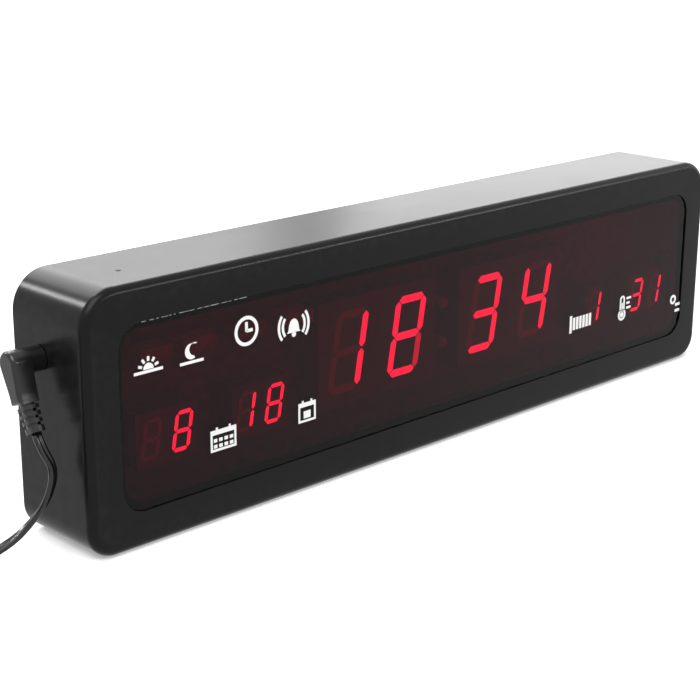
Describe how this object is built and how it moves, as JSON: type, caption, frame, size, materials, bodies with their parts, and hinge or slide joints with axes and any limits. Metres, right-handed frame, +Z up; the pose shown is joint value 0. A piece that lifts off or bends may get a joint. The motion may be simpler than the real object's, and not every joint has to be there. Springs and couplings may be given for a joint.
{
  "type": "digital wall clock",
  "caption": "Slim clock for a wall or desk with lit digits for time, date, weekday and temperature behind a smoked lens, and a coiled supply lead",
  "frame": {"origin": "centre of the case's footprint, on the surface that it stands on", "axes": "+X to the right seen from the display side, +Y from the display to the rear cover, +Z up"},
  "size_m": [0.5108, 0.0585, 0.089],
  "materials": {
    "black_abs": "satin",
    "cover_abs": "fine grain",
    "smoked_lens": "gloss",
    "module_plastic": "matte",
    "lit_resin": "diffusing",
    "dark_resin": "diffusing",
    "red_resin": "gloss",
    "board_laminate": "solder mask",
    "chip_resin": "matte",
    "tinned_metal": "bright",
    "screw_steel": "zinc plated",
    "can_aluminium": "satin",
    "sensor_epoxy": "gloss",
    "holder_plastic": "matte",
    "cell_steel": "satin",
    "key_plastic": "satin",
    "lead_vinyl": "satin vinyl",
    "tie_plastic": "satin",
    "adapter_abs": "fine grain",
    "nickel_plate": "nickel",
    "core_steel": "laminated"
  },
  "bodies": {
    "case": {"front_housing": "black_abs", "rear_cover": "cover_abs", "window_lens": "smoked_lens", "cover_screws": "screw_steel", "board_screws": "screw_steel", "display_board": "board_laminate", "display_pins": "tinned_metal", "colon_leds": "red_resin", "indicator_lights": "red_resin", "clock_chip": "chip_resin", "driver_chips": "chip_resin", "crystal": "tinned_metal", "capacitors": "can_aluminium", "resistors": "chip_resin", "sounder": "chip_resin", "temperature_sensor": "sensor_epoxy", "cell_holder": "holder_plastic", "cell_contacts": "tinned_metal", "coin_cell": "cell_steel", "key_switches": "holder_plastic", "inlet_jack": "holder_plastic", "inlet_contacts": "tinned_metal", "hour_module": "module_plastic", "hour_lit_bars": "lit_resin", "hour_dark_bars": "dark_resin", "minute_module": "module_plastic", "minute_lit_bars": "lit_resin", "minute_dark_bars": "dark_resin", "month_module": "module_plastic", "month_lit_bars": "lit_resin", "month_dark_bars": "dark_resin", "date_module": "module_plastic", "date_lit_bars": "lit_resin", "date_dark_bars": "dark_resin", "weekday_module": "module_plastic", "weekday_lit_bars": "lit_resin", "weekday_dark_bars": "dark_resin", "temperature_module": "module_plastic", "temperature_lit_bars": "lit_resin", "temperature_dark_bars": "dark_resin"},
    "setting_key_1": {"setting_key_1": "key_plastic"},
    "setting_key_2": {"setting_key_2": "key_plastic"},
    "setting_key_3": {"setting_key_3": "key_plastic"},
    "setting_key_4": {"setting_key_4": "key_plastic"},
    "battery_cap": {"battery_cap": "cover_abs"},
    "supply": {"supply_lead": "lead_vinyl", "lead_coil": "lead_vinyl", "lead_tail": "lead_vinyl", "coil_tie": "tie_plastic", "plug_barrel": "nickel_plate", "plug_moulding": "lead_vinyl", "plug_strain_relief": "lead_vinyl", "wall_adapter_cover": "adapter_abs", "wall_adapter_base": "adapter_abs", "adapter_pins": "nickel_plate", "pin_sleeves": "tie_plastic", "adapter_strain_relief": "lead_vinyl", "adapter_transformer": "core_steel", "adapter_board": "board_laminate"}
  },
  "joints": [
    {"name": "setting_key_1_press", "type": "slide", "parent": "case", "child": "setting_key_1", "axis": [0, -1, 0], "range_m": [0, 0.001], "stiffness_N_per_m": 400},
    {"name": "setting_key_2_press", "type": "slide", "parent": "case", "child": "setting_key_2", "axis": [0, -1, 0], "range_m": [0, 0.001], "stiffness_N_per_m": 400},
    {"name": "setting_key_3_press", "type": "slide", "parent": "case", "child": "setting_key_3", "axis": [0, -1, 0], "range_m": [0, 0.001], "stiffness_N_per_m": 400},
    {"name": "setting_key_4_press", "type": "slide", "parent": "case", "child": "setting_key_4", "axis": [0, -1, 0], "range_m": [0, 0.001], "stiffness_N_per_m": 400},
    {"name": "battery_cap_turn", "type": "hinge", "parent": "case", "child": "battery_cap", "pos_m": [0.07, 0.0165, 0.0445], "axis": [0, 1, 0], "range_deg": [0, 40]},
    {"name": "plug_pull", "type": "slide", "parent": "case", "child": "supply", "axis": [-1, 0, 0], "range_m": [0, 0.012]}
  ]
}
